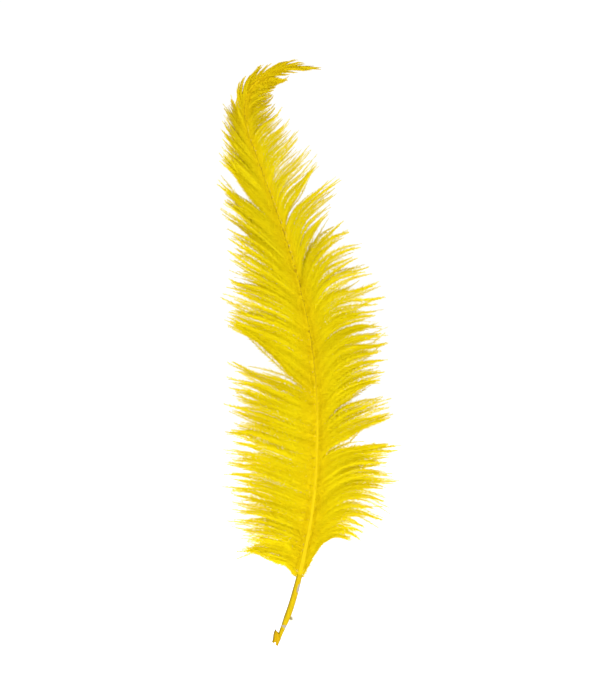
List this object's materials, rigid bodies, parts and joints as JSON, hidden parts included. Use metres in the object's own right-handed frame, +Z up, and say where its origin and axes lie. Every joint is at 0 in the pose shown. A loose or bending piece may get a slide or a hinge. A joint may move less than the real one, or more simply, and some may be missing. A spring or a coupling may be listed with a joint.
{
  "type": "ostrich plume",
  "caption": "Dyed ostrich plume: hollow quill, tapering shaft that curls over at the top, and soft vanes of barbs in separate locks.",
  "frame": {"origin": "centre of the quill's cut end, where the plume is held", "axes": "+Z up the plume from the quill to the curl, +X across the vane towards the side the tip curls to, -Y out of the plume's face towards the viewer"},
  "size_m": [0.1415, 0.0289, 0.4699],
  "materials": {
    "dyed_barbs": "matte",
    "dyed_shaft": "satin",
    "quill_horn": "satin",
    "pith": "matte",
    "down": "matte"
  },
  "bodies": {
    "quill": {"calamus_tube": "quill_horn", "pulp_caps": "pith", "sheath_stub": "dyed_shaft", "down_bit": "down", "shaft_cortex_1": "dyed_shaft", "shaft_pith_1": "pith", "left_lock_01": "dyed_barbs", "left_lock_02": "dyed_barbs", "left_lock_03": "dyed_barbs", "left_lock_04": "dyed_barbs", "left_lock_05": "dyed_barbs", "right_lock_01": "dyed_barbs", "right_lock_02": "dyed_barbs", "right_lock_03": "dyed_barbs", "right_lock_04": "dyed_barbs", "right_lock_05": "dyed_barbs"},
    "lower_shaft": {"shaft_cortex_2": "dyed_shaft", "shaft_pith_2": "pith", "left_lock_06": "dyed_barbs", "left_lock_07": "dyed_barbs", "left_lock_08": "dyed_barbs", "left_lock_09": "dyed_barbs", "right_lock_06": "dyed_barbs", "right_lock_07": "dyed_barbs", "right_lock_08": "dyed_barbs", "right_lock_09": "dyed_barbs", "right_lock_10": "dyed_barbs"},
    "middle_shaft": {"shaft_cortex_3": "dyed_shaft", "left_lock_10": "dyed_barbs", "left_lock_11": "dyed_barbs", "left_lock_12": "dyed_barbs", "left_lock_13": "dyed_barbs", "left_lock_14": "dyed_barbs", "right_lock_11": "dyed_barbs", "right_lock_12": "dyed_barbs", "right_lock_13": "dyed_barbs", "right_lock_14": "dyed_barbs", "right_lock_15": "dyed_barbs"},
    "upper_shaft": {"shaft_cortex_4": "dyed_shaft", "left_lock_15": "dyed_barbs", "left_lock_16": "dyed_barbs", "left_lock_17": "dyed_barbs", "right_lock_16": "dyed_barbs", "right_lock_17": "dyed_barbs", "right_lock_18": "dyed_barbs"},
    "shaft_tip": {"shaft_cortex_5": "dyed_shaft", "crest_outer": "dyed_barbs", "crest_inner": "dyed_barbs", "left_lock_18": "dyed_barbs", "right_lock_19": "dyed_barbs", "right_lock_20": "dyed_barbs", "right_lock_21": "dyed_barbs"}
  },
  "joints": [
    {"name": "lower_flex", "type": "hinge", "parent": "quill", "child": "lower_shaft", "pos_m": [0.03243, -0.00573, 0.14552], "axis": [0.9989, 0, -0.046], "range_deg": [-6, 6], "stiffness_Nm_per_rad": 0.2},
    {"name": "middle_flex", "type": "hinge", "parent": "lower_shaft", "child": "middle_shaft", "pos_m": [0.02859, -0.00575, 0.24029], "axis": [0.9891, 0, 0.1471], "range_deg": [-10, 10], "stiffness_Nm_per_rad": 0.07},
    {"name": "upper_flex", "type": "hinge", "parent": "middle_shaft", "child": "upper_shaft", "pos_m": [0.0068, -0.00326, 0.32745], "axis": [0.9516, 0, 0.3072], "range_deg": [-15, 15], "stiffness_Nm_per_rad": 0.016},
    {"name": "tip_flex", "type": "hinge", "parent": "upper_shaft", "child": "shaft_tip", "pos_m": [-0.01999, 0.00182, 0.40264], "axis": [0.941, 0, 0.3385], "range_deg": [-24, 24], "stiffness_Nm_per_rad": 0.004}
  ]
}
